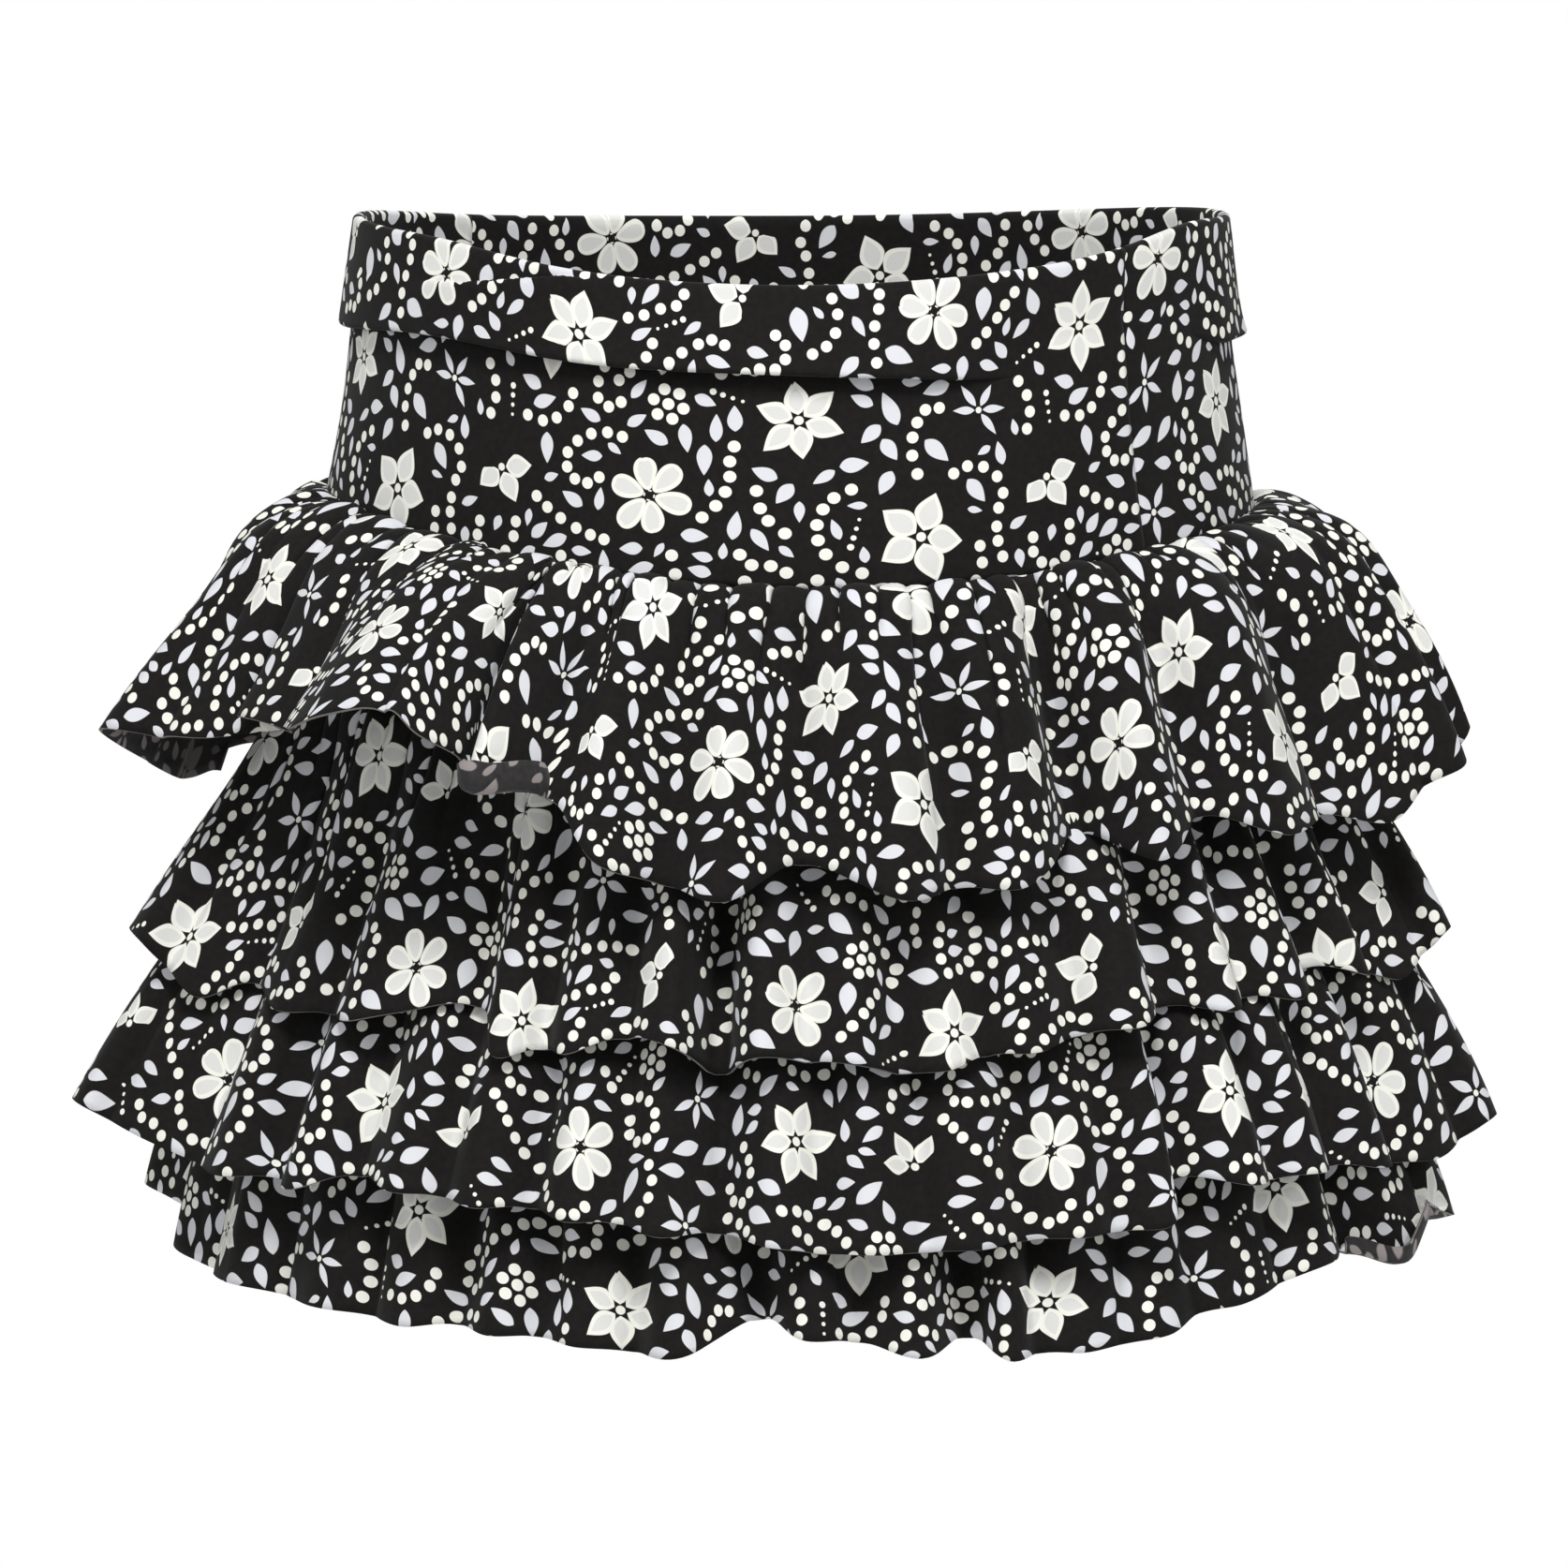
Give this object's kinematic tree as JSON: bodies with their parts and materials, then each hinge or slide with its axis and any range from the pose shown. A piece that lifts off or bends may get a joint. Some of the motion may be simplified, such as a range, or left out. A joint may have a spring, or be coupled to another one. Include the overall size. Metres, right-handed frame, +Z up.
{
  "type": "ruffle skirt",
  "caption": "Short hollow skirt as worn: a smooth yoke with its top folded over, a plain base skirt inside and stacked gathered ruffles with wavy hems.",
  "frame": {"origin": "centre of the waist opening, level with the waist edge at the sides, where the wearer holds the skirt up", "axes": "+Z up along the wearer's body, the front faces -Y, +X to the right of the front view (the wearer's left)"},
  "size_m": [0.4967, 0.4088, 0.3801],
  "materials": {
    "yoke_jersey": "matt printed jersey, cream and grey flowers, leaves and dots on a near-black ground, two layers",
    "base_jersey": "matt plain near-black jersey",
    "ruffle_jersey": "matt printed jersey, cream and grey flowers, leaves and dots on a near-black ground, dull reverse, raw cut hem"
  },
  "bodies": {
    "root": {"yoke_front": "yoke_jersey", "yoke_back": "yoke_jersey", "base_front": "base_jersey", "base_back": "base_jersey", "ruffle_1_front": "ruffle_jersey", "ruffle_1_back": "ruffle_jersey", "ruffle_2_front": "ruffle_jersey", "ruffle_2_back": "ruffle_jersey", "ruffle_3_front": "ruffle_jersey", "ruffle_3_back": "ruffle_jersey", "ruffle_4_front": "ruffle_jersey", "ruffle_4_back": "ruffle_jersey"}
  },
  "joints": []
}
